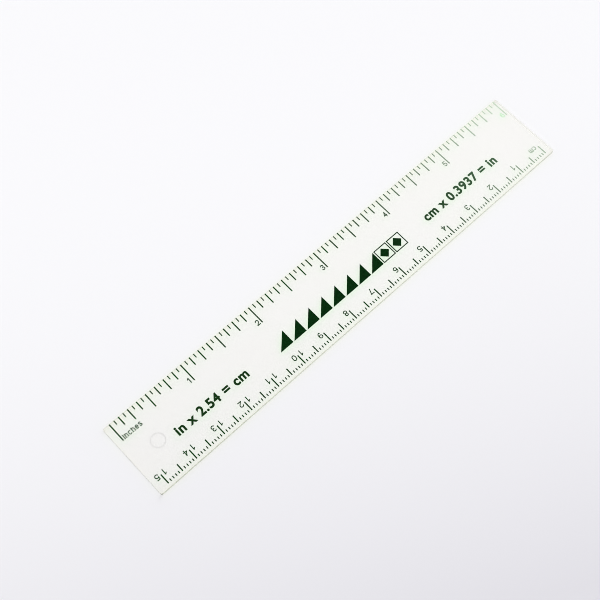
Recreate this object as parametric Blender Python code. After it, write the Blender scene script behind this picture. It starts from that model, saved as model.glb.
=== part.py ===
"""Clear plastic pocket ruler: a moulded blade with an inch scale, a metric scale and printed patchwork.

Metres, +Z up. The origin is the middle of the underside. +X runs along the blade towards the high end
of the inch scale, and +Y runs across it towards the inch edge.
"""
import math

import bmesh
import bpy
from mathutils import Vector
from mathutils.geometry import delaunay_2d_cdt

MM = 0.001

# Blade
BLADE_LENGTH = 156.0 * MM
BLADE_WIDTH = 24.3 * MM
BLADE_THICKNESS = 1.2 * MM
CORNER_RADIUS = 0.5 * MM
CORNER_STEPS = 4
EDGE_EASE = 0.12 * MM
EASE_STEPS = 2

# Round mark that an ejector pin left in the underside, on the blade's middle line
PIN_MARK_DIAMETER = 4.4 * MM
PIN_MARK_DEPTH = 0.1 * MM
PIN_MARK_FROM_END = 9.2 * MM
PIN_MARK_SIDES = 32
SHARP_ANGLE = math.radians(60)

# Ink film, laid on the top face
INK_THICKNESS = 0.05 * MM
INK_CLEARANCE = 0.01 * MM
MARK_WIDTH = 0.38 * MM
HAIRLINE_WIDTH = 0.06 * MM

# Inch scale: marks run in from the inch edge, as many whole inches as the blade holds between its margins
INCH = 25.4 * MM
INCH_DIVISIONS = 16
START_MARGIN = 2.2 * MM
END_MARGIN = 1.0 * MM
INCH_MARK = 6.05 * MM
HALF_MARK = 4.65 * MM
QUARTER_MARK = 3.7 * MM
EIGHTH_MARK = 2.85 * MM
SIXTEENTH_MARK = 1.4 * MM

# Metric scale: marks start a little way in from the metric edge and count the other way, as many whole
# centimetres as fit beside the inch scale, with the same middle
CENTIMETRE = 10.0 * MM
CENTIMETRE_DIVISIONS = 10
METRIC_MARK_INSET = 1.0 * MM
CENTIMETRE_MARK = 3.25 * MM
HALF_CENTIMETRE_MARK = 2.45 * MM
MILLIMETRE_MARK = 0.85 * MM

# Numerals, drawn with an even pen
INCH_NUMERAL_HEIGHT = 1.75 * MM
METRIC_NUMERAL_HEIGHT = 1.85 * MM
NUMERAL_PROPORTION = 0.67
NUMERAL_STROKE = 0.27 * MM
NUMERAL_GAP = 0.42 * MM
METRIC_NUMERAL_DROP = 0.9 * MM
# Turn of the pen from one point of a round stretch to the next, and the shortest side kept in an outline
PEN_TURN = 22.5
SHORTEST_SIDE = 0.005 * MM

# Patchwork band: a row of half-square triangles, then squares with a diamond in a frame
PATCH = 5.1 * MM
PATCH_SEAM = 0.35 * MM
FRAME_LINE = 0.3 * MM
TRIANGLE_COUNT = 8
FRAME_COUNT = 2
PATCHWORK_FROM_METRIC_EDGE = 10.3 * MM
PATCHWORK_SHIFT = -2.1 * MM

# Colours and finish
CLEAR_PLASTIC = (0.93, 0.93, 0.90)
CLEAR_ROUGHNESS = 0.08
CLEAR_TRANSMISSION = 0.9
GREEN_INK = (0.010, 0.050, 0.014)
INK_ROUGHNESS = 0.35

# Places that follow from the sizes above
PRINT_Z = BLADE_THICKNESS + INK_CLEARANCE
INCH_EDGE_Y = BLADE_WIDTH / 2
METRIC_EDGE_Y = -BLADE_WIDTH / 2
INCH_ZERO_X = START_MARGIN - BLADE_LENGTH / 2
INCH_COUNT = int((BLADE_LENGTH - START_MARGIN - END_MARGIN) / INCH)
SCALE_MIDDLE_X = INCH_ZERO_X + INCH_COUNT * INCH / 2
CENTIMETRE_COUNT = int(INCH_COUNT * INCH / CENTIMETRE)
METRIC_ZERO_X = SCALE_MIDDLE_X + CENTIMETRE_COUNT * CENTIMETRE / 2
INCH_MARKS_Y = INCH_EDGE_Y - EDGE_EASE
METRIC_MARKS_Y = METRIC_EDGE_Y + METRIC_MARK_INSET


def make_material(name, colour, roughness, transmission=0.0):
    """A Principled material of one colour."""
    material = bpy.data.materials.new(name)
    material.use_nodes = True
    material.diffuse_color = (*colour, 1.0)
    shader = material.node_tree.nodes["Principled BSDF"]
    shader.inputs["Base Color"].default_value = (*colour, 1.0)
    shader.inputs["Roughness"].default_value = roughness
    shader.inputs["Metallic"].default_value = 0.0
    shader.inputs["Transmission Weight"].default_value = transmission
    return material


def add_object(name, data, material, parent=None):
    """Link one named object, with its material, under its parent."""
    data.materials.append(material)
    thing = bpy.data.objects.new(name, data)
    bpy.context.scene.collection.objects.link(thing)
    thing.parent = parent
    return thing


def mesh_from(name, shape):
    """Turn a bmesh into a mesh datablock."""
    mesh = bpy.data.meshes.new(name)
    shape.to_mesh(mesh)
    shape.free()
    return mesh


def blade_loop(inset, height):
    """One loop of points round the blade with rounded corners, drawn in by inset."""
    radius = CORNER_RADIUS - inset
    reach_x = BLADE_LENGTH / 2 - CORNER_RADIUS
    reach_y = BLADE_WIDTH / 2 - CORNER_RADIUS
    points = []
    for corner, (side_x, side_y) in enumerate(((1, 1), (-1, 1), (-1, -1), (1, -1))):
        for step in range(CORNER_STEPS + 1):
            angle = (corner + step / CORNER_STEPS) * math.pi / 2
            x = side_x * reach_x + radius * math.cos(angle)
            y = side_y * reach_y + radius * math.sin(angle)
            points.append((x, y, height))
    return points


def edge_levels():
    """Inset and height of each loop, from the underside up to the top face."""
    lower = []
    for step in range(EASE_STEPS + 1):
        angle = step / EASE_STEPS * math.pi / 2
        inset = EDGE_EASE * (1 - math.sin(angle))
        rise = EDGE_EASE * (1 - math.cos(angle))
        lower.append((inset, rise))
    upper = [(inset, BLADE_THICKNESS - rise) for inset, rise in reversed(lower)]
    return lower + upper


def make_pin_mark_cutter(parent):
    """The short round cutter that leaves the ejector-pin mark."""
    shape = bmesh.new()
    bmesh.ops.create_cone(
        shape,
        cap_ends=True,
        segments=PIN_MARK_SIDES,
        radius1=PIN_MARK_DIAMETER / 2,
        radius2=PIN_MARK_DIAMETER / 2,
        depth=2 * PIN_MARK_DEPTH,
    )
    cutter = bpy.data.objects.new("pin_mark_cutter", mesh_from("pin_mark_cutter", shape))
    bpy.context.scene.collection.objects.link(cutter)
    cutter.parent = parent
    cutter.location = (PIN_MARK_FROM_END - BLADE_LENGTH / 2, 0.0, 0.0)
    cutter.hide_render = True
    cutter.display_type = "WIRE"
    return cutter


def make_blade(material):
    """The clear moulded blade, with eased edges and the ejector-pin mark."""
    shape = bmesh.new()
    loops = [[shape.verts.new(point) for point in blade_loop(*level)] for level in edge_levels()]
    for lower, upper in zip(loops, loops[1:]):
        for index in range(len(lower)):
            after = (index + 1) % len(lower)
            shape.faces.new((lower[index], lower[after], upper[after], upper[index]))
    shape.faces.new(reversed(loops[0]))
    shape.faces.new(loops[-1])
    mesh = mesh_from("blade", shape)
    mesh.shade_smooth()
    mesh.set_sharp_from_angle(angle=SHARP_ANGLE)
    blade = add_object("blade", mesh, material)
    cut = blade.modifiers.new("pin mark", "BOOLEAN")
    cut.operation = "DIFFERENCE"
    cut.solver = "EXACT"
    cut.object = make_pin_mark_cutter(blade)
    return blade


def add_print(name, shape, material, parent):
    """A flat shape that faces up, drawn at the underside of the ink and thickened into a film."""
    thing = add_object(name, mesh_from(name, shape), material, parent)
    thing.location.z = PRINT_Z
    film = thing.modifiers.new("ink film", "SOLIDIFY")
    film.thickness = INK_THICKNESS
    film.offset = 1.0
    return thing


def make_scale(name, marks, outer_y, inward, material, parent):
    """All marks of one scale, held together by a hairline along their outer ends.

    marks is a list of (x, length), and inward is the sign of the way from the edge to the blade's middle.
    """
    shape = bmesh.new()
    last = None
    for x, length in sorted(marks):
        columns = []
        for side in (-1, 1):
            column_x = x + side * MARK_WIDTH / 2
            depths = (0.0, HAIRLINE_WIDTH, length)
            columns.append([shape.verts.new((column_x, outer_y + inward * depth, 0.0)) for depth in depths])
        left, right = columns
        for row in (0, 1):
            shape.faces.new((left[row], right[row], right[row + 1], left[row + 1]))
        if last is not None:
            shape.faces.new((last[0], left[0], left[1], last[1]))
        last = right
    if inward < 0:
        bmesh.ops.reverse_faces(shape, faces=shape.faces)
    return add_print(name, shape, material, parent)


def inch_mark_length(index):
    """Length of one mark of the inch scale, by the fraction of an inch that it marks."""
    for parts, length in ((1, INCH_MARK), (2, HALF_MARK), (4, QUARTER_MARK), (8, EIGHTH_MARK)):
        if index * parts % INCH_DIVISIONS == 0:
            return length
    return SIXTEENTH_MARK


def metric_mark_length(index):
    """Length of one mark of the metric scale."""
    if index % CENTIMETRE_DIVISIONS == 0:
        return CENTIMETRE_MARK
    if 2 * index % CENTIMETRE_DIVISIONS == 0:
        return HALF_CENTIMETRE_MARK
    return MILLIMETRE_MARK


def make_scales(material, parent):
    """The inch scale and the metric scale."""
    pitch = INCH / INCH_DIVISIONS
    count = INCH_COUNT * INCH_DIVISIONS
    marks = [(INCH_ZERO_X + index * pitch, inch_mark_length(index)) for index in range(count + 1)]
    make_scale("inch_scale_marks", marks, INCH_MARKS_Y, -1, material, parent)
    pitch = CENTIMETRE / CENTIMETRE_DIVISIONS
    count = CENTIMETRE_COUNT * CENTIMETRE_DIVISIONS
    marks = [(METRIC_ZERO_X - index * pitch, metric_mark_length(index)) for index in range(count + 1)]
    make_scale("metric_scale_marks", marks, METRIC_MARKS_Y, 1, material, parent)


def make_patch(name, outlines, material, parent):
    """One printed patch, from flat faces given as lists of (x, y) points that share their corners."""
    shape = bmesh.new()
    corners = {}
    for outline in outlines:
        for point in outline:
            if point not in corners:
                corners[point] = shape.verts.new((*point, 0.0))
        shape.faces.new([corners[point] for point in outline])
    return add_print(name, shape, material, parent)


def arc(x, y, radius_x, radius_y, start, end):
    """Points on an ellipse about x, y, from one angle to another, in degrees."""
    steps = math.ceil(abs(end - start) / PEN_TURN)
    angles = [math.radians(start + (end - start) * step / steps) for step in range(steps + 1)]
    return [(x + radius_x * math.cos(angle), y + radius_y * math.sin(angle)) for angle in angles]


def digit_strokes(digit):
    """The pen's strokes for a digit, as lists of points in a unit square."""
    six = [arc(0.5, 0.29, 0.5, 0.29, 180, -180), [(0.0, 0.29)] + arc(0.5, 0.62, 0.5, 0.38, 180, 60)]
    strokes = {
        "0": [arc(0.5, 0.66, 0.5, 0.34, 180, 0) + arc(0.5, 0.34, 0.5, 0.34, 0, -180) + [(0.0, 0.66)]],
        "1": [[(0.24, 0.8), (0.64, 1.0)], [(0.64, 1.0), (0.64, 0.0)]],
        "2": [arc(0.5, 0.7, 0.5, 0.3, 160, -40) + [(0.0, 0.0)], [(0.0, 0.0), (1.0, 0.0)]],
        "3": [arc(0.48, 0.76, 0.44, 0.24, 150, -90), arc(0.48, 0.26, 0.52, 0.26, 90, -150)],
        "4": [[(0.7, 1.0), (0.0, 0.32)], [(0.0, 0.32), (1.0, 0.32)], [(0.7, 1.0), (0.7, 0.0)]],
        "5": [[(0.95, 1.0), (0.14, 1.0), (0.09, 0.55)], arc(0.47, 0.32, 0.53, 0.32, 135, -150)],
        "6": six,
        "7": [[(0.0, 1.0), (1.0, 1.0)], [(1.0, 1.0), (0.35, 0.0)]],
        "8": [arc(0.5, 0.75, 0.42, 0.25, 90, -270), arc(0.5, 0.27, 0.5, 0.27, 90, -270)],
        "9": [[(1.0 - x, 1.0 - y) for x, y in stroke] for stroke in six],
    }
    return strokes[digit]


def stroke_sides(points, width):
    """The two sides of a stroke along points: mitred corners, square ends, or no ends where it closes."""
    closed = (points[0] - points[-1]).length < SHORTEST_SIDE
    ways = [(after - point).normalized() for point, after in zip(points, points[1:])]
    sides = []
    for index, point in enumerate(points):
        before = ways[index - 1] if index > 0 or closed else ways[0]
        after = ways[index] if index < len(ways) else ways[0] if closed else ways[-1]
        if not closed and index == 0:
            point = point - ways[0] * width / 2
        if not closed and index == len(ways):
            point = point + ways[-1] * width / 2
        across = (before + after).orthogonal()
        across *= width / across.length_squared
        sides.append((point - across, point + across))
    return sides


def merge_strokes(strokes, width):
    """One flat shape, facing up, that the given strokes cover together."""
    corners = []
    pieces = []
    for stroke in strokes:
        sides = stroke_sides(stroke, width)
        first = len(corners)
        corners += [corner for pair in sides for corner in pair]
        pieces += [(right, right + 2, right + 3, right + 1)
                   for right in range(first, len(corners) - 2, 2)]
    corners, _, triangles, _, _, covered_by = delaunay_2d_cdt(corners, [], pieces, 1, SHORTEST_SIDE)
    shape = bmesh.new()
    points = [shape.verts.new((*corner, 0.0)) for corner in corners]
    for triangle, covers in zip(triangles, covered_by):
        if covers:
            shape.faces.new([points[corner] for corner in triangle])
    bmesh.ops.delete(shape, geom=[point for point in points if not point.link_faces], context="VERTS")
    bmesh.ops.remove_doubles(shape, verts=shape.verts, dist=SHORTEST_SIDE)
    return shape


def make_digit(name, digit, height, place, turned, material, parent):
    """One printed digit, with the middle of its foot at place; turned reads from the inch side."""
    reach_x = NUMERAL_PROPORTION * height - NUMERAL_STROKE
    reach_y = height - NUMERAL_STROKE
    strokes = [[Vector(((x - 0.5) * reach_x, y * reach_y + NUMERAL_STROKE / 2)) for x, y in stroke]
               for stroke in digit_strokes(digit)]
    numeral = add_print(name, merge_strokes(strokes, NUMERAL_STROKE), material, parent)
    numeral.location.xy = place
    numeral.rotation_euler.z = math.pi if turned else 0.0


def digit_offset(height):
    """Distance from the middle of a mark to the middle of a digit beside it."""
    return MARK_WIDTH / 2 + NUMERAL_GAP + NUMERAL_PROPORTION * height / 2


def make_inch_numerals(material, parent):
    """A numeral before each whole inch mark, with its foot level with the mark's inner end."""
    baseline_y = INCH_MARKS_Y - INCH_MARK
    offset = digit_offset(INCH_NUMERAL_HEIGHT)
    for inch in range(1, INCH_COUNT + 1):
        place = (INCH_ZERO_X + inch * INCH - offset, baseline_y)
        make_digit(f"inch_numeral_{inch}", str(inch), INCH_NUMERAL_HEIGHT, place, False, material, parent)


def make_metric_numerals(material, parent):
    """Numerals beside the centimetre marks: the units after the mark, and any tens before it."""
    baseline_y = METRIC_MARKS_Y + CENTIMETRE_MARK + METRIC_NUMERAL_DROP
    offset = digit_offset(METRIC_NUMERAL_HEIGHT)
    for number in range(1, CENTIMETRE_COUNT + 1):
        mark_x = METRIC_ZERO_X - number * CENTIMETRE
        tens, units = divmod(number, 10)
        name = f"metric_numeral_{number}"
        digits = [(name, units, -offset)]
        if tens:
            digits = [(f"{name}_tens", tens, offset), (f"{name}_units", units, -offset)]
        for node, digit, shift in digits:
            place = (mark_x + shift, baseline_y)
            make_digit(node, str(digit), METRIC_NUMERAL_HEIGHT, place, True, material, parent)


def make_patchwork(material, parent):
    """The band of patches along the middle of the blade."""
    count = TRIANGLE_COUNT + FRAME_COUNT
    middle_y = METRIC_EDGE_Y + PATCHWORK_FROM_METRIC_EDGE
    half = (PATCH - PATCH_SEAM) / 2
    inner = half - FRAME_LINE
    point = inner - PATCH_SEAM
    for index in range(count):
        x = PATCHWORK_SHIFT + (index - (count - 1) / 2) * PATCH
        if index < TRIANGLE_COUNT:
            triangle = [(-half, -half), (half, -half), (half, half)]
            patches = {f"triangle_patch_{index + 1}": [triangle]}
        else:
            outside = [(-half, -half), (half, -half), (half, half), (-half, half)]
            inside = [(-inner, -inner), (inner, -inner), (inner, inner), (-inner, inner)]
            sides = [(0, 1), (1, 2), (2, 3), (3, 0)]
            frame = [[outside[a], outside[b], inside[b], inside[a]] for a, b in sides]
            diamond = [(0.0, -point), (point, 0.0), (0.0, point), (-point, 0.0)]
            number = index - TRIANGLE_COUNT + 1
            patches = {f"frame_patch_{number}": frame, f"diamond_patch_{number}": [diamond]}
        for name, outlines in patches.items():
            make_patch(name, outlines, material, parent).location.xy = (x, middle_y)


def main():
    """Clear the scene and model the ruler."""
    for thing in list(bpy.data.objects):
        bpy.data.objects.remove(thing)
    clear_plastic = make_material("clear_plastic", CLEAR_PLASTIC, CLEAR_ROUGHNESS, CLEAR_TRANSMISSION)
    scale_ink = make_material("scale_ink", GREEN_INK, INK_ROUGHNESS)
    numeral_ink = make_material("numeral_ink", GREEN_INK, INK_ROUGHNESS)
    patch_ink = make_material("patch_ink", GREEN_INK, INK_ROUGHNESS)
    blade = make_blade(clear_plastic)
    make_scales(scale_ink, blade)
    make_inch_numerals(numeral_ink, blade)
    make_metric_numerals(numeral_ink, blade)
    make_patchwork(patch_ink, blade)


main()
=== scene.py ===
"""Dressed model of a clear plastic pocket ruler with dark green print, lit and seen as in the photograph.

Metres, +Z up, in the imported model's frame: +X runs along the blade towards the high end of the inch scale,
and +Y towards the inch edge.
"""
import math

import bmesh
import bpy
from mathutils import Matrix, Vector
from mathutils.geometry import delaunay_2d_cdt


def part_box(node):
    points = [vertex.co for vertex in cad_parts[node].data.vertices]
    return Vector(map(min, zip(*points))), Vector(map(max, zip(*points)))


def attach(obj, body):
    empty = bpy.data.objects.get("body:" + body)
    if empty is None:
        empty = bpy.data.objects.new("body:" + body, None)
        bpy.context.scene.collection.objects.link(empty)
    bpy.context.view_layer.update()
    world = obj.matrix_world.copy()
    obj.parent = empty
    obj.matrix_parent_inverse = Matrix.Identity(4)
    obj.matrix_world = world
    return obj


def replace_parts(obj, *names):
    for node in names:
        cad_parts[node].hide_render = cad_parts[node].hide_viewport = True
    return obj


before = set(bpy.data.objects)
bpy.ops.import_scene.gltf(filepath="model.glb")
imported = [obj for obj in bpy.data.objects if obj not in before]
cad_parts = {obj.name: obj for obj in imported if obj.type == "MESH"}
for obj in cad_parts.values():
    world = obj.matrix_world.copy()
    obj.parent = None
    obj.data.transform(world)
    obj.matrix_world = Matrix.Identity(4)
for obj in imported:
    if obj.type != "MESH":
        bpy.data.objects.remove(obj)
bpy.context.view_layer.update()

MM = 0.001
INCH = 25.4 * MM
CENTIMETRE = 10.0 * MM

# Places read from the frame
BLADE_LOW, BLADE_HIGH = (Vector(corner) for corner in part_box("blade"))
INCH_LOW, INCH_HIGH = (Vector(corner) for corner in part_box("inch_scale_marks"))
METRIC_LOW, METRIC_HIGH = (Vector(corner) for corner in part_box("metric_scale_marks"))
PATCH_LOW, PATCH_HIGH = (Vector(corner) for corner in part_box("triangle_patch_1"))
METRIC_NUMERAL_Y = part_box("metric_numeral_1")[1][1]
BLADE_THICKNESS = BLADE_HIGH.z - BLADE_LOW.z
INK_THICKNESS = INCH_HIGH.z - INCH_LOW.z
INK_LOW_Z = INCH_LOW.z
INCH_COUNT = int((INCH_HIGH.x - INCH_LOW.x) / INCH)
CENTIMETRE_COUNT = int((METRIC_HIGH.x - METRIC_LOW.x) / CENTIMETRE)
MARK_WIDTH = INCH_HIGH.x - INCH_LOW.x - INCH_COUNT * INCH
INCH_ZERO_X = INCH_LOW.x + MARK_WIDTH / 2
METRIC_ZERO_X = METRIC_HIGH.x - MARK_WIDTH / 2

# Blade
CORNER_RADIUS = 0.5 * MM
CORNER_STEPS = 8
EDGE_ROUND = 0.03 * MM
EDGE_STEPS = 4
FLAT_FACING = 0.9999
PIN_MARK_X = BLADE_LOW.x + 9.2 * MM
PIN_MARK_RADIUS = 2.2 * MM
PIN_MARK_DEPTH = 0.03 * MM
PIN_MARK_SLOPE = 0.25 * MM
PIN_MARK_SIDES = 64

# Scales
SHORT_MARK_SHARE = 0.84
MARK_CORNER = 0.08 * MM
MARK_CORNER_STEPS = 2
MARK_SHOULDER = 0.03 * MM
INCH_DIVISIONS = 16
INCH_MARK_LENGTHS = ((1, 6.05 * MM), (2, 4.65 * MM), (4, 3.7 * MM), (8, 2.85 * MM), (16, 1.4 * MM))
CENTIMETRE_DIVISIONS = 10
METRIC_MARK_LENGTHS = ((1, 3.25 * MM), (2, 2.45 * MM), (10, 0.85 * MM))

# Unit labels, drawn with an even pen. Height and width are a small letter's, and the turn is in degrees.
UNIT_HEIGHT = 1.35 * MM
UNIT_WIDTH = 0.93 * MM
UNIT_STROKE = 0.25 * MM
UNIT_SPACE = 0.27 * MM
INCHES_FROM_MARK = 0.36 * MM
INCHES_DROP = 0.12 * MM
CENTIMETRES_FROM_MARK = 0.66 * MM
CAPITAL = 1.22
PEN_TURN = 22.5
SHORTEST_SIDE = 0.01 * MM

# Conversion lines, with the weight added to each side of the font's strokes
FONT_CAP_HEIGHT = 0.682
LETTER_RESOLUTION = 6
LINE_HEIGHT = 3.0 * MM
LINE_WEIGHT = 0.14 * MM
LINE_SPACING = 1.1
LEFT_LINE_X = -51.1 * MM
RIGHT_LINE_X = 47.4 * MM

# Finish of the blade. A noise is its scale per metre and its detail, and a span is the part of it in use.
PLASTIC_COLOURS = ((0.987, 0.979, 0.938), (0.991, 0.983, 0.948))
PLASTIC_IOR = 1.49
TINT_NOISE = (55.0, 2.0)
TINT_SPAN = (0.35, 0.65)
HAZE_NOISE = (140.0, 6.0)
HAZE_SPAN = (0.45, 0.75)
HAZE_ROUGHNESS = (0.02, 0.07)
RIPPLE_NOISE = (70.0, 1.0)
RIPPLE_HEIGHT = 0.004 * MM
DEPTH_COLOUR = (0.4, 0.5, 0.0)
DEPTH_DENSITY = 2.0
# Painted shade on the long edges: a dark yellowish colour, with its shares at the low end and at the far end
EDGE_SHADE_FACING = (0.5, 0.9)
EDGE_SHADE_COLOUR = (0.58, 0.61, 0.48)
EDGE_SHADE_SHARES = (1.0, 0.65)
EDGE_SHADE_FADES_FROM = -40.0 * MM
# Light held back at the low end and the far end, and at the metric edge and the inch edge
WALL_FACING = (0.3, 0.7)
END_LOSSES = (0.06, 0.04)
EDGE_LOSSES = (0.14, 0.16)
WALL_TINT = (0.86, 0.90, 0.0)

# Inks: the deep and the pale colour of the mottle, and the paler colour painted towards one far corner as
# glare
FINE_INK = ((0.002, 0.034, 0.003), (0.006, 0.055, 0.009), (0.62, 0.75, 0.60))
# Painted glare: an ink pale throughout, for the last inch numeral
GLARE_PALE_INK = ((0.50, 0.84, 0.50), (0.58, 0.89, 0.58), (0.62, 0.91, 0.62))
LINE_INK = ((0.004, 0.028, 0.004), (0.012, 0.046, 0.012), (0.12, 0.23, 0.13))
SOLID_INK = ((0.0004, 0.016, 0.0015), (0.003, 0.034, 0.006), (0.097, 0.215, 0.105))
INK_PASSES = (0.82, 1.0, 0.80)
INK_SPECULAR = 0.02
MOTTLE_NOISE = (2600.0, 5.0)
MOTTLE_SPAN = (0.35, 0.7)
SATIN_NOISE = (900.0, 3.0)
SATIN_SPAN = (0.3, 0.7)
SATIN_ROUGHNESS = (0.28, 0.42)
GRAIN_NOISE = (5200.0, 3.0)
GRAIN_HEIGHT = 0.003 * MM
# Painted glare: the direction in which the ink turns paler, where it starts and where it is full, and how
# fast
GLARE_DIRECTION = (0.84, 0.54, 0.0)
GLARE_STARTS = 10.0 * MM
GLARE_FULL = 72.0 * MM
GLARE_CURVE = 1.7

# Camera, as fitted to the marks in the photograph
CAMERA_PLACE = Vector((-0.11209, -0.08733, 0.31172))
CAMERA_AIM = Vector((-0.01219, 0.00421, 0.0))
CAMERA_ROLL = math.radians(4.566)
CAMERA_LENS = 71.55
CAMERA_SENSOR = 36.0
CAMERA_NEAR = 0.01

# Stage and light
FLOOR_SIZE = 4.0
FLOOR_DROP = 0.05 * MM
FLOOR_ROUGHNESS = 0.9
FLOOR_BRIGHT = (0.957, 0.955, 0.978)
# Painted shade: the floor's darker colour, the direction it darkens in, where that starts and is full, and
# how fast
FLOOR_PAINTED_SHADE = (0.756, 0.746, 0.791)
FLOOR_SHADE_DIRECTION = (-0.454, -0.891, 0.0)
FLOOR_SHADE_STARTS = -95.0 * MM
FLOOR_SHADE_FULL = 99.0 * MM
FLOOR_SHADE_CURVE = 2.87
SKY_LEVEL = 0.93
SKY_LEAN = 0.25
SOFTBOX_ELEVATION = math.radians(34.0)
SOFTBOX_AZIMUTH = math.radians(25.0)
SOFTBOX_LEVEL = 2.6
SOFTBOX_CORE = math.cos(math.radians(5.0))
SOFTBOX_RIM = math.cos(math.radians(18.0))
LIGHT_BOUNCES = 160
PIXEL_FILTER = 0.9


def new_material(name):
    """An empty node material with its Principled shader."""
    material = bpy.data.materials.new(name)
    material.use_nodes = True
    return material, material.node_tree, material.node_tree.nodes["Principled BSDF"]


def calculate(tree, operation, *values):
    """A sum on node outputs and numbers."""
    node = tree.nodes.new("ShaderNodeMath")
    node.operation = operation
    for socket, value in zip(node.inputs, values):
        if isinstance(value, float):
            socket.default_value = value
        else:
            tree.links.new(value, socket)
    return node.outputs["Value"]


def spread(tree, value, low, high, into_low, into_high):
    """Map a value's range onto another range."""
    node = tree.nodes.new("ShaderNodeMapRange")
    node.inputs["From Min"].default_value = low
    node.inputs["From Max"].default_value = high
    node.inputs["To Min"].default_value = into_low
    node.inputs["To Max"].default_value = into_high
    tree.links.new(value, node.inputs["Value"])
    return node.outputs["Result"]


def noise(tree, scale, detail):
    """A noise texture in object space, in features per metre."""
    coordinates = tree.nodes.new("ShaderNodeTexCoord")
    texture = tree.nodes.new("ShaderNodeTexNoise")
    texture.inputs["Scale"].default_value = scale
    texture.inputs["Detail"].default_value = detail
    tree.links.new(coordinates.outputs["Object"], texture.inputs["Vector"])
    return texture.outputs["Fac"]


def reach(tree, direction, kind="Object"):
    """How far a point, or a direction, goes along the given direction."""
    coordinates = tree.nodes.new("ShaderNodeTexCoord")
    node = tree.nodes.new("ShaderNodeVectorMath")
    node.operation = "DOT_PRODUCT"
    node.inputs[1].default_value = direction
    tree.links.new(coordinates.outputs[kind], node.inputs[0])
    return node.outputs["Value"]


def blend_colours(tree, factor, first, second):
    """Mix two colours, each a colour or a node's output, by a factor."""
    node = tree.nodes.new("ShaderNodeMix")
    node.data_type = "RGBA"
    colour_inputs = [socket for socket in node.inputs if socket.type == "RGBA"]
    for socket, colour in zip(colour_inputs, (first, second)):
        if isinstance(colour, tuple):
            socket.default_value = (*colour, 1.0)
        else:
            tree.links.new(colour, socket)
    tree.links.new(factor, node.inputs["Factor"])
    return [socket for socket in node.outputs if socket.type == "RGBA"][0]


def bump(tree, shader, height, distance):
    """Feed a height into the shader's normal."""
    node = tree.nodes.new("ShaderNodeBump")
    node.inputs["Distance"].default_value = distance
    tree.links.new(height, node.inputs["Height"])
    tree.links.new(node.outputs["Normal"], shader.inputs["Normal"])


def facing(tree, axis):
    """How far the surface faces along an axis, either way, from 0 to 1."""
    geometry = tree.nodes.new("ShaderNodeNewGeometry")
    apart = tree.nodes.new("ShaderNodeSeparateXYZ")
    tree.links.new(geometry.outputs["Normal"], apart.inputs["Vector"])
    return calculate(tree, "ABSOLUTE", apart.outputs[axis])


def wall_passing(tree):
    """The light that the blade's walls let pass: they hold back a little, and blue above all."""
    held_back = 0.0
    walls = (("X", (1.0, 0.0, 0.0), BLADE_HIGH.x, END_LOSSES),
             ("Y", (0.0, 1.0, 0.0), BLADE_HIGH.y, EDGE_LOSSES))
    for axis, direction, extent, losses in walls:
        wall = spread(tree, facing(tree, axis), *WALL_FACING, 0.0, 1.0)
        loss = spread(tree, reach(tree, direction), -extent, extent, *losses)
        held_back = calculate(tree, "ADD", held_back, calculate(tree, "MULTIPLY", wall, loss))
    return blend_colours(tree, held_back, (1.0, 1.0, 1.0), WALL_TINT)


def pass_floor_light(tree, shader, passing):
    """Let the light that falls on the floor pass, tinted by a colour or a node's output."""
    rays = tree.nodes.new("ShaderNodeLightPath")
    surface = shader.outputs["BSDF"]
    for kind in ("Is Shadow Ray", "Is Diffuse Ray"):
        clear = tree.nodes.new("ShaderNodeBsdfTransparent")
        choice = tree.nodes.new("ShaderNodeMixShader")
        if isinstance(passing, tuple):
            clear.inputs["Color"].default_value = (*passing, 1.0)
        else:
            tree.links.new(passing, clear.inputs["Color"])
        tree.links.new(rays.outputs[kind], choice.inputs["Fac"])
        tree.links.new(surface, choice.inputs[1])
        tree.links.new(clear.outputs["BSDF"], choice.inputs[2])
        surface = choice.outputs["Shader"]
    tree.links.new(surface, tree.nodes["Material Output"].inputs["Surface"])


def clear_plastic():
    """Clear moulded plastic: faintly warm, glossy, with soft flow ripples, haze, and painted shade that
    darkens the long edges with a dark yellowish colour.
    """
    material, tree, shader = new_material("clear_plastic_finish")
    shader.inputs["Transmission Weight"].default_value = 1.0
    shader.inputs["IOR"].default_value = PLASTIC_IOR
    tint = spread(tree, noise(tree, *TINT_NOISE), *TINT_SPAN, 0.0, 1.0)
    colour = blend_colours(tree, tint, *PLASTIC_COLOURS)
    # Painted shade: the long edges are darkened with a dark yellowish colour, less towards the far end
    edge = spread(tree, facing(tree, "Y"), *EDGE_SHADE_FACING, 0.0, 1.0)
    along = reach(tree, (1.0, 0.0, 0.0))
    share = spread(tree, along, EDGE_SHADE_FADES_FROM, BLADE_HIGH.x, *EDGE_SHADE_SHARES)
    edge = calculate(tree, "MULTIPLY", edge, share)
    tree.links.new(blend_colours(tree, edge, colour, EDGE_SHADE_COLOUR), shader.inputs["Base Color"])
    haze = spread(tree, noise(tree, *HAZE_NOISE), *HAZE_SPAN, *HAZE_ROUGHNESS)
    tree.links.new(haze, shader.inputs["Roughness"])
    bump(tree, shader, noise(tree, *RIPPLE_NOISE), RIPPLE_HEIGHT)
    depth = tree.nodes.new("ShaderNodeVolumeAbsorption")
    depth.inputs["Color"].default_value = (*DEPTH_COLOUR, 1.0)
    depth.inputs["Density"].default_value = DEPTH_DENSITY
    tree.links.new(depth.outputs["Volume"], tree.nodes["Material Output"].inputs["Volume"])
    pass_floor_light(tree, shader, wall_passing(tree))
    return material


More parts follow.
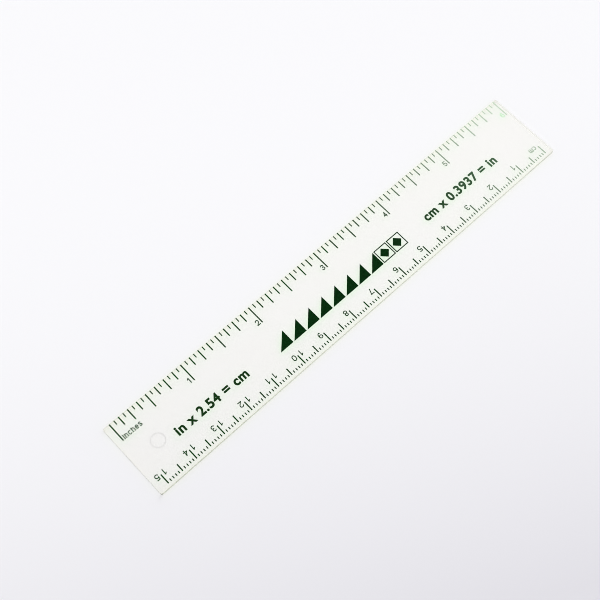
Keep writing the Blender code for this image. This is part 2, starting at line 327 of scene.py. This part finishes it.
def green_ink(name, deep, pale, glare_colour):
    """Dark green printed ink: a satin film, a little uneven, with painted glare that turns it paler towards
    one far corner.

    Light that falls through it on the floor turns green.
    """
    material, tree, shader = new_material(name)
    shader.inputs["Specular IOR Level"].default_value = INK_SPECULAR
    mottle = spread(tree, noise(tree, *MOTTLE_NOISE), *MOTTLE_SPAN, 0.0, 1.0)
    ink = blend_colours(tree, mottle, deep, pale)
    # Painted glare: the ink is blended to a paler colour towards one far corner
    share = spread(tree, reach(tree, GLARE_DIRECTION), GLARE_STARTS, GLARE_FULL, 0.0, 1.0)
    painted_glare = calculate(tree, "POWER", share, GLARE_CURVE)
    tree.links.new(blend_colours(tree, painted_glare, ink, glare_colour), shader.inputs["Base Color"])
    satin = spread(tree, noise(tree, *SATIN_NOISE), *SATIN_SPAN, *SATIN_ROUGHNESS)
    tree.links.new(satin, shader.inputs["Roughness"])
    bump(tree, shader, noise(tree, *GRAIN_NOISE), GRAIN_HEIGHT)
    pass_floor_light(tree, shader, INK_PASSES)
    return material


def floor_paper():
    """Smooth pale paper, with painted shade that darkens it towards the near side."""
    material, tree, shader = new_material("floor_paper")
    shader.inputs["Roughness"].default_value = FLOOR_ROUGHNESS
    shader.inputs["Specular IOR Level"].default_value = 0.0
    # Painted shade: the paper is blended to a darker colour towards the near side
    share = spread(tree, reach(tree, FLOOR_SHADE_DIRECTION), FLOOR_SHADE_STARTS, FLOOR_SHADE_FULL, 0.0, 1.0)
    floor_shade = calculate(tree, "POWER", share, FLOOR_SHADE_CURVE)
    tree.links.new(blend_colours(tree, floor_shade, FLOOR_BRIGHT, FLOOR_PAINTED_SHADE), shader.inputs["Base Color"])
    return material


def mesh_from(name, shape):
    """Turn a bmesh into a mesh datablock."""
    mesh = bpy.data.meshes.new(name)
    shape.to_mesh(mesh)
    shape.free()
    return mesh


def add_piece(name, mesh, material):
    """Link one piece of the object, with its material, on the one body."""
    mesh.materials.append(material)
    piece = bpy.data.objects.new(name, mesh)
    bpy.context.scene.collection.objects.link(piece)
    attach(piece, "root")
    return piece


def add_print(name, shape, material):
    """Link one printed piece."""
    piece = add_piece(name, mesh_from(name, shape), material)
    piece.visible_transmission = False
    return piece


def rounded_loop(low, high, radius, steps, inset=0.0):
    """Points round a rectangle with round corners, anticlockwise, drawn in by inset."""
    points = []
    corners = ((high.x, high.y, -1, -1), (low.x, high.y, 1, -1),
               (low.x, low.y, 1, 1), (high.x, low.y, -1, 1))
    for quarter, (x, y, inward_x, inward_y) in enumerate(corners):
        for step in range(steps + 1):
            angle = (quarter + step / steps) * math.pi / 2
            points.append((x + inward_x * radius + (radius - inset) * math.cos(angle),
                           y + inward_y * radius + (radius - inset) * math.sin(angle)))
    return points


def skin_loops(shape, loops):
    """Join loops of equal length with quads, from the lowest to the highest."""
    rings = [[shape.verts.new(point) for point in loop] for loop in loops]
    for lower, upper in zip(rings, rings[1:]):
        for index in range(len(lower)):
            after = (index + 1) % len(lower)
            shape.faces.new((lower[index], lower[after], upper[after], upper[index]))
    return rings


def make_blade(material):
    """The blade with finely rounded edges and a shallow round pin mark in its underside."""
    levels = []
    for step in range(EDGE_STEPS + 1):
        angle = step / EDGE_STEPS * math.pi / 2
        levels.append((EDGE_ROUND * (1 - math.sin(angle)), EDGE_ROUND * (1 - math.cos(angle))))
    levels += [(inset, BLADE_THICKNESS - rise) for inset, rise in reversed(levels)]
    shape = bmesh.new()
    loops = []
    for inset, rise in levels:
        outline = rounded_loop(BLADE_LOW, BLADE_HIGH, CORNER_RADIUS, CORNER_STEPS, inset)
        loops.append([(x, y, BLADE_LOW.z + rise) for x, y in outline])
    rings = skin_loops(shape, loops)
    shape.faces.new(rings[-1])
    # The underside is a face with a hole, closed by the shallow pin mark
    turns = [2 * math.pi * side / PIN_MARK_SIDES for side in range(PIN_MARK_SIDES)]
    rim = []
    for rise, radius in ((0.0, PIN_MARK_RADIUS), (PIN_MARK_DEPTH, PIN_MARK_RADIUS - PIN_MARK_SLOPE)):
        rim.append([(PIN_MARK_X + radius * math.cos(turn), radius * math.sin(turn), BLADE_LOW.z + rise)
                    for turn in turns])
    mark = skin_loops(shape, rim)
    shape.faces.new(mark[-1])
    outlines = (rings[0], mark[0])
    edges = [shape.edges.get((ring[i], ring[i - 1])) for ring in outlines for i in range(len(ring))]
    bmesh.ops.triangle_fill(shape, use_beauty=True, edges=edges)
    bmesh.ops.recalc_face_normals(shape, faces=shape.faces)
    for face in shape.faces:
        face.normal_update()
        face.smooth = max(abs(way) for way in face.normal) < FLAT_FACING
    mesh = mesh_from("clear_blade", shape)
    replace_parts(add_piece("clear_blade", mesh, material), "blade")


def mark_length(index, divisions, lengths):
    """Length of a mark, by the coarsest part of the unit that it falls on."""
    for parts, length in lengths:
        if index * parts % divisions == 0:
            return length
    return lengths[-1][1]


def make_marks(name, node, places, outer_y, inward, material):
    """Separate printed marks of one scale: thin films with round corners and soft shoulders.

    The shortest marks are a little finer than the others.
    """
    shape = bmesh.new()
    shortest = min(length for _, length in places)
    levels = ((0.0, 0.0), (0.0, INK_THICKNESS / 2), (MARK_SHOULDER, INK_THICKNESS))
    for x, length in places:
        ends = sorted((outer_y, outer_y + inward * length))
        half = MARK_WIDTH / 2 * (SHORT_MARK_SHARE if length == shortest else 1.0)
        low = Vector((x - half, ends[0]))
        high = Vector((x + half, ends[1]))
        loops = []
        for inset, rise in levels:
            outline = rounded_loop(low, high, MARK_CORNER, MARK_CORNER_STEPS, inset)
            loops.append([(*point, INK_LOW_Z + rise) for point in outline])
        rings = skin_loops(shape, loops)
        shape.faces.new(rings[-1])
        shape.faces.new(reversed(rings[0]))
    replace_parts(add_print(name, shape, material), node)


def make_scales(material):
    """Both scales, on the places of the CAD scales."""
    places = []
    for index in range(INCH_COUNT * INCH_DIVISIONS + 1):
        length = mark_length(index, INCH_DIVISIONS, INCH_MARK_LENGTHS)
        places.append((INCH_ZERO_X + index * INCH / INCH_DIVISIONS, length))
    make_marks("inch_marks", "inch_scale_marks", places, INCH_HIGH.y, -1, material)
    places = []
    for index in range(CENTIMETRE_COUNT * CENTIMETRE_DIVISIONS + 1):
        length = mark_length(index, CENTIMETRE_DIVISIONS, METRIC_MARK_LENGTHS)
        places.append((METRIC_ZERO_X - index * CENTIMETRE / CENTIMETRE_DIVISIONS, length))
    make_marks("metric_marks", "metric_scale_marks", places, METRIC_LOW.y, 1, material)


def lay_film(name, shape, place, turn, material):
    """Thicken a flat shape into an ink film and lay it at place."""
    upper = bmesh.ops.extrude_face_region(shape, geom=shape.faces[:], use_keep_orig=True)["geom"]
    upper = [item for item in upper if isinstance(item, bmesh.types.BMVert)]
    bmesh.ops.translate(shape, verts=upper, vec=(0.0, 0.0, INK_THICKNESS))
    bmesh.ops.recalc_face_normals(shape, faces=shape.faces)
    shape.transform(Matrix.Translation((*place, INK_LOW_Z)) @ Matrix.Rotation(turn, 4, "Z"))
    add_print(name, shape, material)


def arc(x, y, radius_x, radius_y, start, end):
    """Points on an ellipse about x, y, from one angle to another, in degrees."""
    steps = math.ceil(abs(end - start) / PEN_TURN)
    angles = [math.radians(start + (end - start) * step / steps) for step in range(steps + 1)]
    return [(x + radius_x * math.cos(angle), y + radius_y * math.sin(angle)) for angle in angles]


def letter_strokes(letter):
    """A letter's width and the pen's strokes, as lists of points; most small letters fill a unit square."""
    stem = [(0.0, 0.0), (0.0, 1.0)]
    tall_stem = [(0.0, 0.0), (0.0, CAPITAL)]
    arch = arc(0.5, 0.55, 0.5, 0.45, 180, 0) + [(1.0, 0.0)]
    narrow_arches = [[(0.85 * (x + along), y) for x, y in arch] for along in (0, 1)]
    letters = {
        "I": (0.0, [tall_stem]),
        "c": (1.0, [arc(0.5, 0.5, 0.5, 0.5, 45, 315)]),
        "e": (1.0, [[(0.0, 0.5), (1.0, 0.5)], arc(0.5, 0.5, 0.5, 0.5, 0, 315)]),
        "h": (1.0, [tall_stem, arch]),
        "m": (1.7, [stem, *narrow_arches]),
        "n": (1.0, [stem, arch]),
        "s": (1.0, [arc(0.5, 0.75, 0.45, 0.25, 40, 270) + arc(0.5, 0.25, 0.5, 0.25, 90, -140)[1:]]),
    }
    return letters[letter]


def stroke_sides(points, width):
    """The two sides of an open stroke along points, with mitred corners and square ends."""
    ways = [(after - point).normalized() for point, after in zip(points, points[1:])]
    points = [points[0] - ways[0] * width / 2, *points[1:-1], points[-1] + ways[-1] * width / 2]
    sides = []
    for point, before, after in zip(points, [ways[0], *ways], [*ways, ways[-1]]):
        across = (before + after).orthogonal()
        across *= width / across.length_squared
        sides.append((point - across, point + across))
    return sides


def merge_strokes(strokes, width):
    """One flat shape, facing up, that the given strokes cover together."""
    corners = []
    pieces = []
    for stroke in strokes:
        first = len(corners)
        corners += [corner for pair in stroke_sides(stroke, width) for corner in pair]
        pieces += [(right, right + 2, right + 3, right + 1) for right in range(first, len(corners) - 2, 2)]
    corners, _, triangles, _, _, covered_by = delaunay_2d_cdt(corners, [], pieces, 1, SHORTEST_SIDE)
    shape = bmesh.new()
    points = [shape.verts.new((*corner, 0.0)) for corner in corners]
    for triangle, covers in zip(triangles, covered_by):
        if covers:
            shape.faces.new([points[corner] for corner in triangle])
    bmesh.ops.delete(shape, geom=[point for point in points if not point.link_faces], context="VERTS")
    bmesh.ops.remove_doubles(shape, verts=shape.verts, dist=SHORTEST_SIDE)
    return shape


def make_unit_label(name, words, place, turn, material):
    """A unit's name beside the zero mark, drawn letter by letter from place on."""
    reach_x = UNIT_WIDTH - UNIT_STROKE
    reach_y = UNIT_HEIGHT - UNIT_STROKE
    foot = UNIT_STROKE / 2
    pen_x = UNIT_STROKE / 2
    strokes = []
    for letter in words:
        width, paths = letter_strokes(letter)
        strokes += [[Vector((pen_x + x * reach_x, foot + y * reach_y)) for x, y in path] for path in paths]
        pen_x += width * reach_x + UNIT_STROKE + UNIT_SPACE
    lay_film(name, merge_strokes(strokes, UNIT_STROKE), place, turn, material)


def font_shape(words, height):
    """Flat shape of a line of lettering, standing on y = 0."""
    text = bpy.data.curves.new("words", "FONT")
    text.body = words
    text.size = height / FONT_CAP_HEIGHT
    text.align_x = "CENTER"
    text.space_character = LINE_SPACING
    text.resolution_u = LETTER_RESOLUTION
    drawing = bpy.data.objects.new("words", text)
    shape = bmesh.new()
    shape.from_mesh(drawing.to_mesh())
    bpy.data.objects.remove(drawing)
    bmesh.ops.remove_doubles(shape, verts=shape.verts, dist=SHORTEST_SIDE)
    return shape


def thicken_strokes(shape, weight):
    """Move the outline of a flat shape outwards by weight, and fill it afresh."""
    shifts = []
    for point in shape.verts:
        across = Vector()
        for edge in point.link_edges:
            if edge.is_boundary:
                loop = edge.link_loops[0]
                along = (loop.link_loop_next.vert.co - loop.vert.co).normalized()
                across += Vector((along.y, -along.x, 0.0))
        shifts.append(2 * weight / across.length_squared * across)
    for point, shift in zip(shape.verts, shifts):
        point.co += shift
    inside = [edge for edge in shape.edges if not edge.is_boundary]
    bmesh.ops.delete(shape, geom=inside, context="EDGES_FACES")
    bmesh.ops.triangle_fill(shape, use_beauty=True, edges=shape.edges, normal=(0.0, 0.0, 1.0))


def make_conversion_line(name, words, middle_x, material):
    """One bold line of lettering, level with the patchwork band."""
    shape = font_shape(words, LINE_HEIGHT - 2 * LINE_WEIGHT)
    thicken_strokes(shape, LINE_WEIGHT)
    foot_y = (PATCH_LOW.y + PATCH_HIGH.y - LINE_HEIGHT) / 2
    lay_film(name, shape, (middle_x, foot_y + LINE_WEIGHT), 0.0, material)


def make_lettering(unit_ink, line_ink):
    """Unit labels at the two zero marks, and a conversion line on each side of the patchwork."""
    place = (INCH_ZERO_X + MARK_WIDTH / 2 + INCHES_FROM_MARK, INCH_LOW.y - INCHES_DROP)
    make_unit_label("inches_label", "Inches", place, 0.0, unit_ink)
    place = (METRIC_ZERO_X - MARK_WIDTH / 2 - CENTIMETRES_FROM_MARK, METRIC_NUMERAL_Y)
    make_unit_label("centimetre_label", "cm", place, math.pi, unit_ink)
    make_conversion_line("inch_conversion", "in x 2.54 = cm", LEFT_LINE_X, line_ink)
    make_conversion_line("metric_conversion", "cm x 0.3937 = in", RIGHT_LINE_X, line_ink)


def dress_nodes(numeral_ink, glare_pale_ink, patch_ink):
    """Give the CAD numerals and patches, which stay, their ink; the last inch numeral gets the palest ink, a
    painted glare.
    """
    for name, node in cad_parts.items():
        if "numeral" in name or "patch" in name:
            ink = numeral_ink if "numeral" in name else patch_ink
            # Painted glare: the last inch numeral takes the palest ink
            if name == f"inch_numeral_{INCH_COUNT}":
                ink = glare_pale_ink
            node.data.materials.clear()
            node.data.materials.append(ink)
            node.visible_transmission = False


def make_floor():
    """A wide pale floor just under the blade."""
    shape = bmesh.new()
    bmesh.ops.create_grid(shape, x_segments=1, y_segments=1, size=FLOOR_SIZE / 2)
    floor = bpy.data.objects.new("floor", mesh_from("floor", shape))
    floor.location.z = BLADE_LOW.z - FLOOR_DROP
    floor.data.materials.append(floor_paper())
    bpy.context.scene.collection.objects.link(floor)


def make_world():
    """A pale sky, a little brighter beyond the far end of the ruler, with one large soft light there."""
    world = bpy.data.worlds.new("studio")
    bpy.context.scene.world = world
    world.use_nodes = True
    tree = world.node_tree
    along = reach(tree, (1.0, 0.0, 0.0), "Generated")
    sky = spread(tree, along, -1.0, 1.0, SKY_LEVEL - SKY_LEAN, SKY_LEVEL + SKY_LEAN)
    level = math.cos(SOFTBOX_ELEVATION)
    softbox = (level * math.cos(SOFTBOX_AZIMUTH),
               level * math.sin(SOFTBOX_AZIMUTH),
               math.sin(SOFTBOX_ELEVATION))
    glow = spread(tree, reach(tree, softbox, "Generated"), SOFTBOX_RIM, SOFTBOX_CORE, 0.0, SOFTBOX_LEVEL)
    glow.node.interpolation_type = "SMOOTHSTEP"
    background = tree.nodes["Background"]
    background.inputs["Color"].default_value = (1.0, 1.0, 1.0, 1.0)
    tree.links.new(calculate(tree, "ADD", sky, glow), background.inputs["Strength"])


def make_camera():
    """The camera at the photograph's place, aim, roll and focal length."""
    data = bpy.data.cameras.new("camera")
    data.lens = CAMERA_LENS
    data.sensor_width = CAMERA_SENSOR
    data.clip_start = CAMERA_NEAR
    camera = bpy.data.objects.new("camera", data)
    bpy.context.scene.collection.objects.link(camera)
    turn = (CAMERA_AIM - CAMERA_PLACE).to_track_quat("-Z", "Y").to_matrix().to_4x4()
    camera.matrix_world = Matrix.Translation(CAMERA_PLACE) @ turn @ Matrix.Rotation(CAMERA_ROLL, 4, "Z")
    bpy.context.scene.camera = camera


def set_light_paths():
    """Follow light far inside the clear blade, with no filter, which would darken what lies under it."""
    cycles = bpy.context.scene.cycles
    cycles.blur_glossy = 0.0
    cycles.filter_width = PIXEL_FILTER
    cycles.max_bounces = LIGHT_BOUNCES
    cycles.glossy_bounces = LIGHT_BOUNCES
    cycles.transmission_bounces = LIGHT_BOUNCES


def main():
    """Dress the frame, then set the stage."""
    fine_ink = green_ink("fine_green_ink", *FINE_INK)
    glare_pale_ink = green_ink("glare_pale_green_ink", *GLARE_PALE_INK)
    line_ink = green_ink("line_green_ink", *LINE_INK)
    solid_ink = green_ink("solid_green_ink", *SOLID_INK)
    make_blade(clear_plastic())
    make_scales(fine_ink)
    make_lettering(fine_ink, line_ink)
    dress_nodes(fine_ink, glare_pale_ink, solid_ink)
    make_floor()
    make_world()
    make_camera()
    set_light_paths()
    bpy.context.scene.view_settings.view_transform = "Standard"


main()
